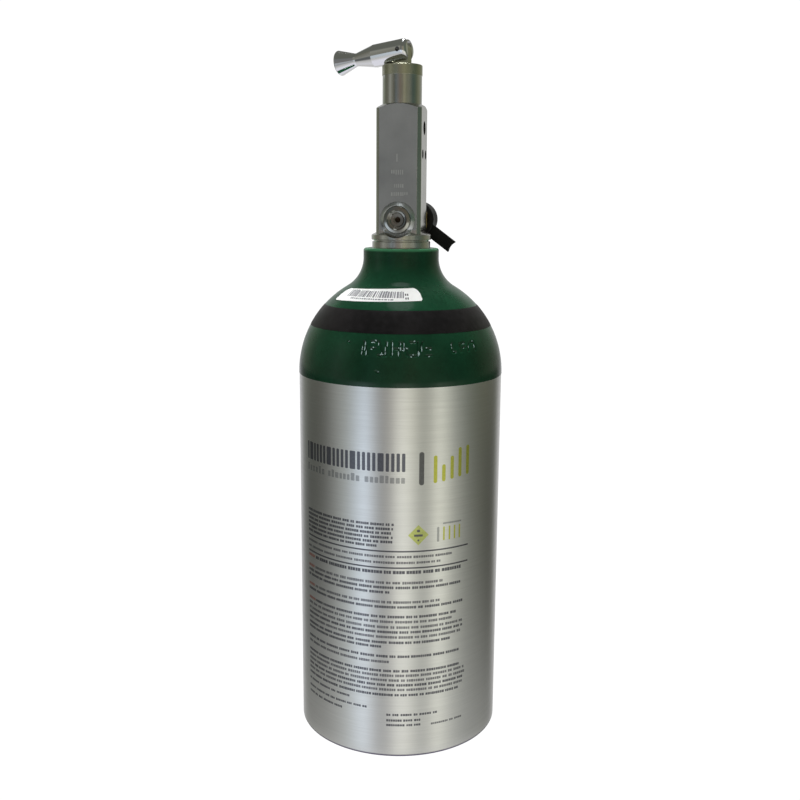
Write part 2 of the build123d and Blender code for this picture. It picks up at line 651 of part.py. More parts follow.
# ---- Toggle lever: a turned bar, slotted over the tang, waisted and flared to its tip ----
droop = radians(LEVER_DROOP)
lever_dir = lever_flat * cos(droop) - Vector(0, 0, 1) * sin(droop)
lever_up = hinge_dir.cross(lever_dir)
with BuildPart() as toggle_lever:
    turning = Plane(pivot, x_dir=hinge_dir, z_dir=lever_up)
    with BuildSketch(turning):
        with BuildLine():
            Line((0, LEVER_END), (LEVER_R - LEVER_END_ROUND, LEVER_END))
            CenterArc((LEVER_R - LEVER_END_ROUND, LEVER_END + LEVER_END_ROUND), LEVER_END_ROUND, -90, 90)
            Polyline(
                (LEVER_R, LEVER_END + LEVER_END_ROUND),
                (LEVER_R, LEVER_BODY),
                (WAIST_R, WAIST_AT),
                (WAIST_R, WAIST_AT + WAIST_LENGTH),
                (TIP_R, TIP_AT),
            )
            CenterArc((TIP_R - TIP_ROUND, TIP_AT), TIP_ROUND, 0, 90)
            Polyline((TIP_R - TIP_ROUND, TIP_AT + TIP_ROUND), (0, TIP_AT + TIP_ROUND), (0, LEVER_END))
        make_face()
    revolve(axis=Axis(turning.origin, turning.y_dir))
    with BuildSketch(Plane(pivot, x_dir=lever_dir, z_dir=lever_up)):
        with Locations(((SLOT_DEPTH + 2 * LEVER_END) / 2, 0)):
            Rectangle(SLOT_DEPTH - 2 * LEVER_END, SLOT_WIDTH)
    extrude(amount=2 * LEVER_R, both=True, mode=Mode.SUBTRACT)
    with BuildSketch(Plane(pivot, x_dir=lever_dir, z_dir=hinge_dir)):
        Circle(PIN_R)
    extrude(amount=2 * LEVER_R, both=True, mode=Mode.SUBTRACT)
finish(toggle_lever.part, "toggle_lever")

with BuildPart() as toggle_pin:
    with BuildSketch(Plane(pivot, x_dir=lever_dir, z_dir=hinge_dir)):
        Circle(PIN_R)
    extrude(amount=PIN_LENGTH / 2, both=True)
finish(toggle_pin.part, "toggle_pin")
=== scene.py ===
"""Oxygen cylinder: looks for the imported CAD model. Metres, in the CAD's own frame."""

import json
import math
import random

import bpy
from mathutils import Matrix, Vector


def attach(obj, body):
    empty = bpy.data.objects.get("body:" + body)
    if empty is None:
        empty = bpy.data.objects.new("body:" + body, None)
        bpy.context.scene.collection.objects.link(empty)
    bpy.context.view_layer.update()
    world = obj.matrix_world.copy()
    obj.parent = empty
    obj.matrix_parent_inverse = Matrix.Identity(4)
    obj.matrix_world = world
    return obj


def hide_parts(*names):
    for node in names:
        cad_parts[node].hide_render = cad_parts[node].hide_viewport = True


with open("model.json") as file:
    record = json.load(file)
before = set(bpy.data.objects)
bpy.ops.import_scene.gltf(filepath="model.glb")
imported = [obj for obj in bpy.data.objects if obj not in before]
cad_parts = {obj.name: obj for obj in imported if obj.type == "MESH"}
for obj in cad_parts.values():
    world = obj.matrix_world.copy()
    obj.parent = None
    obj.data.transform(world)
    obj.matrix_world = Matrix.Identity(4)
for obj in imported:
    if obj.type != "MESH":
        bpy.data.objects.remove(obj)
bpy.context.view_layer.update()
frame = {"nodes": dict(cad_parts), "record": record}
MM = 0.001

# ---- Sizes, as in the CAD model ----
CYL_R = 55.6 * MM
WALL = 5.6 * MM
BASE_THICK = 9.5 * MM
BASE_EDGE_R = 1.5 * MM
FOOT_R = 40.0 * MM
DISH_DEPTH = 2.0 * MM
INNER_CORNER_R = 14.0 * MM
SHOULDER_Z = 201.5 * MM
SHOULDER_R = 54.2 * MM
NECK_FILLET_R = 18.0 * MM
NECK_R = 20.2 * MM
NECK_TOP = 268.5 * MM
NECK_RIM_R = 1.2 * MM
NECK_BORE_R = 9.55 * MM
SEAL_POCKET_R = 12.2 * MM
SEAL_POCKET_DEPTH = 2.7 * MM
COAT = 0.2 * MM
COAT_FROM_Z = 201.2 * MM
COAT_INNER_R = 17.6 * MM
BAND = 0.12 * MM
BAND_Z = (227.5 * MM, 238.4 * MM)
BAND_WANDER = 0.22 * MM  # how far its hand-painted edges stray
LABEL = 0.12 * MM
LABEL_Z = (242.4 * MM, 248.3 * MM)
LABEL_TURN = (-55.5, 28.5)  # degrees round from the front, towards +X
LABEL_TILT = 1.4 * MM  # it was stuck on a little crooked
LABEL_CORNERS = (1.0 * MM, 3.2 * MM)  # radius of its bottom and top corners
LABEL_AT_R = 33 * MM  # how far it is from the axis
POST_FRONT_Y = -11.1 * MM
POST_FROM_Z = 278.3 * MM
PLUG_Z = 283.6 * MM

SHOULDER_X = CYL_R - SHOULDER_R
FILLET_X = NECK_R + NECK_FILLET_R
FILLET_Z = SHOULDER_Z + math.sqrt((SHOULDER_R + NECK_FILLET_R) ** 2 - (FILLET_X - SHOULDER_X) ** 2)
BLEND_ANGLE = math.atan2(FILLET_Z - SHOULDER_Z, FILLET_X - SHOULDER_X)

UNDER_COAT = 0.6 * MM  # how far the bare metal is set in below the coat, out of sight
UNDER_SKIN = 0.03 * MM  # how far the band and the label reach into the coat
TURN_PER_MM = MM / CYL_R  # radians of turn in a millimetre round the wall

# ---- Camera ----
CAMERA_AZIMUTH = math.radians(10.5)
CAMERA_DISTANCE = 548.1 * MM
CAMERA_HEIGHT = 288.2 * MM
CAMERA_ASIDE = -0.11 * MM
CAMERA_PITCH = math.radians(10.69)
CAMERA_ROLL = 0.0067
CAMERA_LENS = 45.04
CAMERA_SENSOR = 36


def make_camera():
    away = Vector((-math.sin(CAMERA_AZIMUTH), math.cos(CAMERA_AZIMUTH), 0))
    right = Vector((math.cos(CAMERA_AZIMUTH), math.sin(CAMERA_AZIMUTH), 0))
    ahead = away * math.cos(CAMERA_PITCH) - Vector((0, 0, math.sin(CAMERA_PITCH)))
    up = right.cross(ahead)
    turn_c, turn_s = math.cos(CAMERA_ROLL), math.sin(CAMERA_ROLL)
    right, up = right * turn_c + up * turn_s, up * turn_c - right * turn_s
    camera = bpy.data.objects.new("camera", bpy.data.cameras.new("camera"))
    camera.data.lens = CAMERA_LENS
    camera.data.sensor_width = CAMERA_SENSOR
    place = -away * CAMERA_DISTANCE + right * CAMERA_ASIDE + Vector((0, 0, CAMERA_HEIGHT))
    turn = Matrix((right, up, -ahead)).transposed()
    camera.matrix_world = Matrix.Translation(place) @ turn.to_4x4()
    bpy.context.scene.collection.objects.link(camera)
    bpy.context.scene.camera = camera


# ---- Materials ----
class Graph:
    """A material's node tree, with short calls for the nodes used here."""

    def __init__(self, name, roughness, metallic=0.0, color=(0.5, 0.5, 0.5), **sockets):
        self.material = bpy.data.materials.new(name)
        self.material.use_nodes = True
        self.tree = self.material.node_tree
        self.shader = self.tree.nodes["Principled BSDF"]
        self.set("Base Color", (*color, 1))
        self.set("Roughness", roughness)
        self.set("Metallic", metallic)
        for socket, value in sockets.items():
            self.set(socket.replace("_", " "), value)

    def set(self, socket, value):
        self.shader.inputs[socket].default_value = value

    def node(self, kind, **settings):
        made = self.tree.nodes.new(kind)
        for key, value in settings.items():
            setattr(made, key, value)
        return made

    def put(self, target, value):
        if isinstance(value, bpy.types.NodeSocket):
            self.tree.links.new(value, target)
        else:
            target.default_value = value

    def drive(self, socket, value):
        self.put(self.shader.inputs[socket], value)

    def coords(self, scale=(1, 1, 1)):
        mapping = self.node("ShaderNodeMapping")
        self.put(mapping.inputs["Vector"], self.node("ShaderNodeTexCoord").outputs["Object"])
        mapping.inputs["Scale"].default_value = scale
        return mapping.outputs["Vector"]

    def axes(self):
        parts = self.node("ShaderNodeSeparateXYZ")
        self.put(parts.inputs[0], self.node("ShaderNodeTexCoord").outputs["Object"])
        return parts.outputs

    def noise(self, vector, scale, detail=3.0, roughness=0.5):
        made = self.node("ShaderNodeTexNoise")
        self.put(made.inputs["Vector"], vector)
        made.inputs["Scale"].default_value = scale
        made.inputs["Detail"].default_value = detail
        made.inputs["Roughness"].default_value = roughness
        return made.outputs["Fac"]

    def math(self, operation, *values):
        made = self.node("ShaderNodeMath", operation=operation)
        for target, value in zip(made.inputs, values):
            self.put(target, value)
        return made.outputs[0]

    def remap(self, value, low, high, to_low, to_high):
        made = self.node("ShaderNodeMapRange")
        for target, given in zip(made.inputs, (value, low, high, to_low, to_high)):
            self.put(target, given)
        return made.outputs[0]

    def mix(self, factor, first, second):
        made = self.node("ShaderNodeMix", data_type="RGBA")
        self.put(made.inputs["Factor"], factor)
        for target, color in ((made.inputs[6], first), (made.inputs[7], second)):
            self.put(target, color if isinstance(color, bpy.types.NodeSocket) else (*color, 1))
        return made.outputs[2]

    def bump(self, height, distance, strength=1.0):
        made = self.node("ShaderNodeBump")
        self.put(made.inputs["Height"], height)
        made.inputs["Distance"].default_value = distance
        made.inputs["Strength"].default_value = strength
        self.drive("Normal", made.outputs[0])


def shade(color, factor):
    return tuple(min(1.0, factor * c) for c in color)


def metal(name, color, roughness, grain, dark=0.86):
    """Metal with fine lines: grain scales the noise on each axis, and the lines run along the small ones."""
    g = Graph(name, roughness, 1.0, color)
    lines = g.noise(g.coords(grain), 1.0, 4.0, 0.6)
    patches = g.noise(g.coords(), 60.0, 3.0)
    g.drive("Base Color", g.mix(g.remap(patches, 0.3, 0.7, 0, 1), shade(color, dark), color))
    g.drive("Roughness", g.remap(lines, 0.3, 0.7, roughness + 0.04, roughness - 0.04))
    g.bump(lines, 0.002 * MM)
    return g.material


def brushed_round(name, roughness, metallic, color):
    """A metal graph brushed round the axis, so that its lines spread reflections up and down."""
    g = Graph(name, roughness, metallic, color, Anisotropic=0.65, Anisotropic_Rotation=0.25)
    g.drive("Tangent", g.node("ShaderNodeTangent", direction_type="RADIAL", axis="Z").outputs[0])
    return g


def wall_aluminium():
    """Brushed aluminium, streaked and clouded, with painted shade: a dark line along the very foot."""
    g = brushed_round("wall_aluminium", 0.32, 1.0, (0.80, 0.80, 0.775))
    fine = g.noise(g.coords((60, 60, 5200)), 1.0, 4.0, 0.65)
    bands = g.noise(g.coords((16, 16, 900)), 1.0, 3.0, 0.6)
    cloud = g.noise(g.coords((30, 30, 12)), 1.0, 3.0)
    tone = g.math("ADD", g.math("MULTIPLY", fine, 0.65), g.math("MULTIPLY", bands, 0.35))
    streaked = g.mix(g.remap(tone, 0.35, 0.65, 0, 1), (0.73, 0.73, 0.705), (0.83, 0.83, 0.805))
    clouded = g.mix(g.remap(cloud, 0.35, 0.65, 0, 0.35), streaked, (0.76, 0.77, 0.78))
    # painted shade: the base colour turns dark purple over the lowest 1.8 mm, for the shade where the wall
    # meets the floor
    foot = g.remap(g.axes()[2], 1.8 * MM, 1.2 * MM, 0, 0.95)
    g.drive("Base Color", g.mix(foot, clouded, (0.10, 0.085, 0.135)))
    g.drive("Roughness", g.remap(tone, 0.35, 0.65, 0.35, 0.29))
    g.bump(tone, 0.003 * MM)
    return g.material


def green_coat():
    """Glossy enamel with faint blotches and specks, and a painted highlight in a paler green on the neck's
    rim.
    """
    g = Graph("green_coat", 0.30, 0.0, (0.007, 0.05, 0.022), Coat_Weight=0.5, Coat_Roughness=0.08)
    g.set("Specular IOR Level", 0.08)
    blotch = g.noise(g.coords(), 60.0, 5.0, 0.6)
    speck = g.noise(g.coords(), 420.0, 3.0)
    tone = g.mix(g.remap(blotch, 0.35, 0.65, 0, 1), (0.0044, 0.042, 0.0185), (0.0078, 0.063, 0.0285))
    speckled = g.mix(g.remap(speck, 0.5, 0.75, 0, 0.4), tone, (0.010, 0.070, 0.032))
    # painted highlight: the base colour turns a paler green over the top of the neck's rim
    rim = g.remap(g.axes()[2], NECK_TOP - 1.7 * MM, NECK_TOP - 0.8 * MM, 0, 1)
    g.drive("Base Color", g.mix(rim, speckled, (0.05, 0.21, 0.10)))
    g.drive("Roughness", g.remap(g.noise(g.coords(), 150.0, 3.0), 0.3, 0.7, 0.24, 0.36))
    g.bump(g.noise(g.coords(), 260.0, 2.0), 0.03 * MM, 0.5)
    return g.material


def black_coat():
    """Dull paint, brushed on by hand and a little worn."""
    g = Graph("black_band_paint", 0.42, 0.0, (0.012, 0.011, 0.012))
    g.set("Specular IOR Level", 0.18)
    fine = g.noise(g.coords(), 300.0, 4.0)
    worn = g.noise(g.coords(), 45.0, 4.0)
    tone = g.mix(g.remap(worn, 0.4, 0.7, 0, 1), (0.0085, 0.0078, 0.0085), (0.018, 0.016, 0.017))
    g.drive("Base Color", g.mix(g.remap(fine, 0.4, 0.8, 0, 0.5), tone, (0.024, 0.022, 0.024)))
    g.drive("Roughness", g.remap(worn, 0.3, 0.7, 0.36, 0.52))
    g.bump(fine, 0.03 * MM, 0.6)
    return g.material


def paper():
    """The label's white film."""
    g = Graph("label_film", 0.42, 0.0, (0.97, 0.97, 0.98))
    fine = g.noise(g.coords(), 900.0, 4.0)
    g.drive("Base Color", g.mix(fine, (0.95, 0.955, 0.965), (1.0, 1.0, 1.0)))
    g.drive("Roughness", g.remap(fine, 0.3, 0.7, 0.36, 0.5))
    g.bump(fine, 0.01 * MM, 0.4)
    return g.material


def ink(name, color, roughness=0.45):
    """Flat ink, or the painted glints on the stamped marks, with fine wear."""
    g = Graph(name, roughness, 0.0, color)
    wear = g.noise(g.coords(), 1100.0, 3.0)
    paler = tuple(min(1.0, 1.25 * c + 0.012) for c in color)
    g.drive("Base Color", g.mix(g.remap(wear, 0.35, 0.75, 0, 1), color, paler))
    g.drive("Roughness", g.remap(wear, 0.3, 0.7, roughness - 0.08, roughness + 0.08))
    return g.material


def wall_print(name, color):
    """Ink thin enough for the wall's brushed metal to show through: a dark tint on its reflections."""
    g = brushed_round(name, 0.34, 0.9, color)
    wear = g.noise(g.coords(), 1100.0, 3.0)
    g.drive("Base Color", g.mix(g.remap(wear, 0.35, 0.75, 0, 1), color, shade(color, 1.25)))
    g.drive("Roughness", g.remap(wear, 0.3, 0.7, 0.30, 0.38))
    return g.material


def plated_valve():
    """Blasted satin on the front and rear faces, duller towards the foot, and polish everywhere else."""
    g = Graph("plated_valve", 0.2, 1.0, (0.62, 0.62, 0.60))
    _, y, z = g.axes()
    face = g.math("GREATER_THAN", g.math("ABSOLUTE", y), -POST_FRONT_Y - 0.08 * MM)
    satin = g.math("MULTIPLY", face, g.math("GREATER_THAN", z, POST_FROM_Z))
    grain = g.noise(g.coords(), 900.0, 4.0, 0.7)
    lines = g.noise(g.coords((900, 900, 25)), 1.0, 3.0, 0.6)
    cloud = g.noise(g.coords(), 55.0, 4.0)
    satin_color = g.mix(g.remap(cloud, 0.3, 0.7, 0, 1), (0.40, 0.405, 0.415), (0.535, 0.54, 0.545))
    bright_color = g.mix(g.remap(cloud, 0.3, 0.7, 0, 1), (0.55, 0.55, 0.52), (0.68, 0.68, 0.655))
    dull_share = g.remap(z, 283 * MM, 345 * MM, 0.38, 0)
    dulled = g.mix(dull_share, satin_color, (0.16, 0.16, 0.155))
    g.drive("Base Color", g.mix(satin, bright_color, dulled))
    satin_rough = g.math("MULTIPLY", satin, g.remap(grain, 0.3, 0.7, 0.44, 0.56))
    polish = g.math("SUBTRACT", 1.0, satin)
    polish_rough = g.math("MULTIPLY", polish, g.remap(lines, 0.3, 0.7, 0.13, 0.22))
    g.drive("Roughness", g.math("ADD", satin_rough, polish_rough))
    relief = g.math("MULTIPLY", grain, g.math("ADD", g.math("MULTIPLY", satin, 0.8), 0.1))
    g.bump(g.math("ADD", relief, g.math("MULTIPLY", lines, 0.1)), 0.006 * MM)
    return g.material


def chrome(name, color=(0.80, 0.80, 0.81), roughness=0.08):
    """Polished plating with faint smears."""
    g = Graph(name, roughness, 1.0, color)
    smear = g.noise(g.coords(), 200.0, 4.0)
    g.drive("Roughness", g.remap(smear, 0.3, 0.75, roughness * 0.8, roughness * 1.6))
    g.drive("Base Color", g.mix(smear, shade(color, 0.92), color))
    g.bump(g.noise(g.coords(), 500.0, 3.0), 0.002 * MM, 0.5)
    return g.material


def rubber():
    """Moulded black rubber, dull and slightly dusty."""
    g = Graph("black_rubber", 0.55, 0.0, (0.010, 0.010, 0.010))
    g.set("Specular IOR Level", 0.15)
    fine = g.noise(g.coords(), 1200.0, 4.0)
    broad = g.noise(g.coords(), 120.0, 4.0)
    dust = g.remap(broad, 0.35, 0.7, 0, 1)
    g.drive("Base Color", g.mix(dust, (0.007, 0.007, 0.007), (0.020, 0.020, 0.0195)))
    g.drive("Roughness", g.remap(broad, 0.3, 0.7, 0.40, 0.62))
    g.bump(fine, 0.03 * MM, 0.6)
    return g.material


def plastic(name, color):
    """Machined plastic with fine grain."""
    g = Graph(name, 0.5, 0.0, color)
    fine = g.noise(g.coords(), 1200.0, 3.0)
    g.drive("Base Color", g.mix(fine, shade(color, 0.9), color))
    g.drive("Roughness", g.remap(fine, 0.3, 0.7, 0.42, 0.58))
    g.bump(fine, 0.01 * MM, 0.5)
    return g.material


TURNED_Z = (35, 35, 3200)  # fine lines round the Z axis
TURNED_Y = (35, 3200, 35)  # fine lines round the Y axis
materials = {
    "shell_aluminium": wall_aluminium(),
    "green_coat": green_coat(),
    "black_coat": black_coat(),
    "label_paper": paper(),
    "plated_valve": plated_valve(),
    "plated_nut": metal("plated_nut", (0.56, 0.56, 0.43), 0.32, TURNED_Z, 0.85),
    "chrome": chrome("polished_chrome"),
    "stainless": metal("dark_steel", (0.12, 0.12, 0.12), 0.42, (900, 900, 900)),
    "brass": metal("turned_brass", (0.78, 0.56, 0.24), 0.25, TURNED_Y),
    "sintered_bronze": metal("sintered_bronze", (0.50, 0.33, 0.18), 0.6, (2500, 2500, 2500), 0.5),
    "copper": metal("rolled_copper", (0.10, 0.07, 0.05), 0.5, (400, 400, 3000)),
    "black_rubber": rubber(),
    "ptfe": plastic("ptfe", (0.82, 0.82, 0.80)),
}
print_black = wall_print("print_black", (0.135, 0.137, 0.155))
print_soft = wall_print("print_soft", (0.21, 0.21, 0.225))
print_slate = wall_print("print_slate", (0.15, 0.155, 0.18))
print_mid = wall_print("print_mid", (0.165, 0.167, 0.17))
print_grey = wall_print("print_grey", (0.40, 0.405, 0.41))
print_yellow = wall_print("print_yellow", (0.55, 0.56, 0.105))
print_pale = wall_print("print_pale", (0.61, 0.66, 0.23))
print_red = wall_print("print_red", (0.46, 0.22, 0.19))
label_ink = ink("label_ink", (0.22, 0.22, 0.25))
label_dark = ink("label_dark", (0.06, 0.06, 0.075))
satin_chrome = chrome("satin_chrome", (0.78, 0.80, 0.82), 0.26)
dark_chrome = chrome("dark_chrome", (0.36, 0.36, 0.335), 0.13)
# painted glints for the stamped marks: a pale bluish tint in place of highlights
painted_stamp_glints = ink("painted_stamp_glints", (0.40, 0.54, 0.55), 0.35)
etched = metal("etched_marks", (0.60, 0.61, 0.60), 0.42, (800, 800, 800))


# ---- Shape helpers ----
def arc(centre, radius, start, end, steps):
    """Points on an arc in (radius, height), angles in radians, both ends included."""
    return [
        (centre[0] + radius * math.cos(start + (end - start) * i / steps),
         centre[1] + radius * math.sin(start + (end - start) * i / steps))
        for i in range(steps + 1)
    ]


def skin_radius(z, grow):
    """Radius of the shoulder and neck at height z, grown outwards by grow."""
    if z <= SHOULDER_Z:
        return CYL_R + grow
    if z <= SHOULDER_Z + (SHOULDER_R + grow) * math.sin(BLEND_ANGLE):
        return SHOULDER_X + math.sqrt((SHOULDER_R + grow) ** 2 - (z - SHOULDER_Z) ** 2)
    if z < FILLET_Z:
        return FILLET_X - math.sqrt((NECK_FILLET_R - grow) ** 2 - (FILLET_Z - z) ** 2)
    return NECK_R + grow


def add_piece(name, points, faces, material, smooth_angle=30):
    """A mesh that rides on the cylinder, smooth except at edges sharper than smooth_angle degrees."""
    mesh = bpy.data.meshes.new(name)
    mesh.from_pydata(points, [], faces)
    mesh.validate()
    mesh.shade_smooth()
    mesh.set_sharp_from_angle(angle=math.radians(smooth_angle))
    mesh.materials.append(material)
    piece = bpy.data.objects.new(name, mesh)
    bpy.context.scene.collection.objects.link(piece)
    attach(piece, "cylinder")
    return piece


def ring_faces(columns, count, closed=True):
    """Faces between columns of count points each; every column is a closed loop."""
    faces = []
    for c in range(columns if closed else columns - 1):
        here, there = c * count, (c + 1) % columns * count
        for i in range(count):
            j = (i + 1) % count
            faces.append((here + i, there + i, there + j, here + j))
    return faces


def turned(turn, outline):
    """A (radius, height) outline stood up at this turn round the axis from the front."""
    return [(r * math.sin(turn), -r * math.cos(turn), z) for r, z in outline]


def on_wall(turn, z, lift):
    """A point lift above the straight wall."""
    radius = CYL_R + lift
    return (radius * math.sin(turn), -radius * math.cos(turn), z)


def on_skin(turn, z, lift):
    """A point lift above the coat; the lift goes straight out from the surface."""
    step = 0.05 * MM
    slope = (skin_radius(z + step, COAT) - skin_radius(z - step, COAT)) / (2 * step)
    away = 1 / math.hypot(1, slope)
    radius = skin_radius(z, COAT) + lift * away
    return (radius * math.sin(turn), -radius * math.cos(turn), z - lift * slope * away)


def on_post(x, z, lift):
    """A point lift in front of the valve's front face."""
    return (x, POST_FRONT_Y - lift, z)


class Marks:
    """Many thin closed plates that follow a surface, collected in one piece."""

    def __init__(self, surface=on_wall, lift=0.02 * MM, sink=0.04 * MM, step=math.radians(1.5)):
        self.surface, self.lift, self.sink, self.step = surface, lift, sink, step
        self.points, self.faces = [], []

    def strip(self, columns):
        """A plate given as columns of (across, z_low, z_high), from left to right."""
        start = len(self.points)
        for across, low, high in columns:
            for z, lift in ((low, -self.sink), (high, -self.sink), (low, self.lift), (high, self.lift)):
                self.points.append(self.surface(across, z, lift))
        for i in range(len(columns) - 1):
            a, b = start + 4 * i, start + 4 * i + 4
            self.faces += [(a + 2, b + 2, b + 3, a + 3), (a, a + 1, b + 1, b)]
            self.faces += [(a, b, b + 2, a + 2), (a + 1, a + 3, b + 3, b + 1)]
        last = start + 4 * (len(columns) - 1)
        self.faces += [(start, start + 2, start + 3, start + 1), (last, last + 1, last + 3, last + 2)]

    def between(self, left, right):
        steps = max(1, math.ceil((right - left) / self.step))
        return [left + (right - left) * i / steps for i in range(steps + 1)]

    def bar(self, left, right, low, high):
        self.strip([(across, low, high) for across in self.between(left, right)])

    def rounded(self, middle, width, low, high, corner):
        """A bar on the wall, width round the wall, with rounded corners."""
        left, steps = middle - width / 2 * TURN_PER_MM / MM, 6
        right = 2 * middle - left
        ends = []
        for i in range(steps + 1):
            angle = math.pi / 2 * i / steps
            inset = corner * (1 - math.sin(angle)) + 0.005 * MM
            ends.append((corner * (1 - math.cos(angle)) * TURN_PER_MM / MM, low + inset, high - inset))
        across = self.between(left + ends[-1][0], right - ends[-1][0])[1:-1]
        columns = [(left + a, b, c) for a, b, c in ends]
        columns += [(a, low + 0.005 * MM, high - 0.005 * MM) for a in across]
        columns += [(right - a, b, c) for a, b, c in reversed(ends)]
        self.strip(columns)

    def piece(self, name, material):
        return add_piece(name, self.points, self.faces, material, smooth_angle=40)


# ---- Cylinder wall ----
def make_shell():
    inner_r = CYL_R - WALL
    inner_shoulder_r = SHOULDER_R - WALL
    inner_top = math.acos((NECK_BORE_R - SHOULDER_X) / inner_shoulder_r)
    corner = inner_r - INNER_CORNER_R
    wall_top = COAT_FROM_Z + 0.1 * MM
    steps = 40
    wall = [(CYL_R, BASE_EDGE_R + (wall_top - BASE_EDGE_R) * i / steps) for i in range(1, steps + 1)]
    outline = [
        (0.01 * MM, DISH_DEPTH),
        (FOOT_R - 2 * MM, DISH_DEPTH),
        (FOOT_R, 0),
        *arc((CYL_R - BASE_EDGE_R, BASE_EDGE_R), BASE_EDGE_R, -math.pi / 2, 0, 10),
        *wall,
        (CYL_R - UNDER_COAT, wall_top + 0.1 * MM),
        *arc((SHOULDER_X, SHOULDER_Z), SHOULDER_R - UNDER_COAT, 0.02, BLEND_ANGLE, 24),
        *arc((FILLET_X, FILLET_Z), NECK_FILLET_R + UNDER_COAT, math.pi + BLEND_ANGLE, math.pi, 12)[1:],
        (NECK_R - UNDER_COAT, NECK_TOP - UNDER_COAT),
        (NECK_R - 2 * UNDER_COAT, NECK_TOP),
        (SEAL_POCKET_R, NECK_TOP),
        (SEAL_POCKET_R, NECK_TOP - SEAL_POCKET_DEPTH),
        (NECK_BORE_R, NECK_TOP - SEAL_POCKET_DEPTH),
        *arc((SHOULDER_X, SHOULDER_Z), inner_shoulder_r, inner_top, 0, 20),
        *arc((corner, BASE_THICK + INNER_CORNER_R), INNER_CORNER_R, 0, -math.pi / 2, 8),
        (0.01 * MM, BASE_THICK),
    ]
    columns = 288
    points = []
    for c in range(columns):
        points += turned(2 * math.pi * c / columns, outline)
    shell = add_piece("wall", points, ring_faces(columns, len(outline)), materials["shell_aluminium"])
    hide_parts("cylinder_shell")


# ---- Green coat with its stamped marks ----
STAMP_DEPTH = 0.50 * MM
STAMP_REACH = 0.80 * MM  # half a groove's width
STAMP_LIP = 0.03 * MM
STAMPED_Z = (207 * MM, 226 * MM)  # no mark lies outside these heights
STROKE_NEAR_Z = 7 * MM  # a stroke does nothing further away than this
STROKE_NEAR_TURN = 0.12


def stamped_strokes():
    """Short strokes, each (turn, z, turn, z): rows of plain tally-like marks that spell nothing."""
    random.seed(41)
    strokes = []

    def cell(centre, low, high, half_width, picks):
        left, right, middle = centre - half_width, centre + half_width, (low + high) / 2
        shapes = {
            "left": (left, low, left, high),
            "right": (right, low, right, high),
            "top": (left, high, right, high),
            "bottom": (left, low, right, low),
            "middle": (left, middle, right, middle),
            "rise": (left, low, right, high),
            "fall": (left, high, right, low),
        }
        for pick in picks:
            t0, z0, t1, z1 = shapes[pick]
            lean = random.uniform(-0.08, 0.08) * half_width
            strokes.append((t0 + lean, z0, t1 - lean, z1))

    def row(patterns, first, last, low, high, half_width):
        for i, picks in enumerate(patterns):
            centre = math.radians(first + (last - first) * i / (len(patterns) - 1))
            cell(centre, low, high + random.uniform(-0.3, 0.3) * MM, math.radians(half_width), picks)

    row((("left", "fall"), ("top", "middle"), ("fall", "bottom"), ("left", "right"), ("middle", "right"),
         ("fall", "middle"), ("top", "bottom"), ("left", "rise"), ("middle", "bottom")),
        -9.0, 26.0, 217.2 * MM, 223.6 * MM, 1.45)
    row((("left", "bottom"), ("right",), ("middle", "top"), ("rise",), ("top", "right")),
        41.5, 56.0, 218.2 * MM, 222.2 * MM, 0.95)
    dot, nick = math.radians(-20.5), math.radians(-2.5)
    strokes.append((dot, 222.8 * MM, dot + math.radians(0.8), 222.7 * MM))
    strokes.append((nick, 209.3 * MM, nick + math.radians(1.6), 208.6 * MM))
    return strokes


def stamp_depth(turn, z, strokes):
    """How deep the coat is pressed in here: round-bottomed grooves with a slight raised lip."""
    deepest, lip = 0.0, 0.0
    scale = skin_radius(z, COAT)
    for t0, z0, t1, z1 in strokes:
        if abs(z - z0) > STROKE_NEAR_Z or abs(turn - t0) > STROKE_NEAR_TURN:
            continue
        ax, ay = (t1 - t0) * scale, z1 - z0
        px, py = (turn - t0) * scale, z - z0
        along = max(0.0, min(1.0, (px * ax + py * ay) / (ax * ax + ay * ay)))
        share = math.hypot(px - along * ax, py - along * ay) / STAMP_REACH
        if share < 1:
            deepest = max(deepest, STAMP_DEPTH * (1 - share * share) ** 2)
        elif share < 2:
            lip = max(lip, STAMP_LIP * math.sin(math.pi * (share - 1)))
    return deepest or -lip


def spaced(spans):
    """Positions through spans of (start, end, step), joined end to end."""
    made = []
    for start, end, step in spans:
        count = max(1, round((end - start) / step))
        made += [start + (end - start) * i / count for i in range(count)]
    return made


# The coat's mesh: (start, end, step) round it in degrees and up it in mm, fine where it is stamped.
COAT_TURNS = (
    (-180, -22, 1.5), (-22, -18.5, 0.2), (-18.5, -11.5, 1.0), (-11.5, 28.5, 0.2), (28.5, 39.5, 1.2),
    (39.5, 58, 0.2), (58, 180, 1.5))
COAT_HEIGHTS = (
    (201.5, 207.5, 1.0), (207.5, 210.4, 0.2), (210.4, 216, 0.8), (216, 224.8, 0.2), (224.8, 248, 1.0),
    (248, 263.6, 0.6))


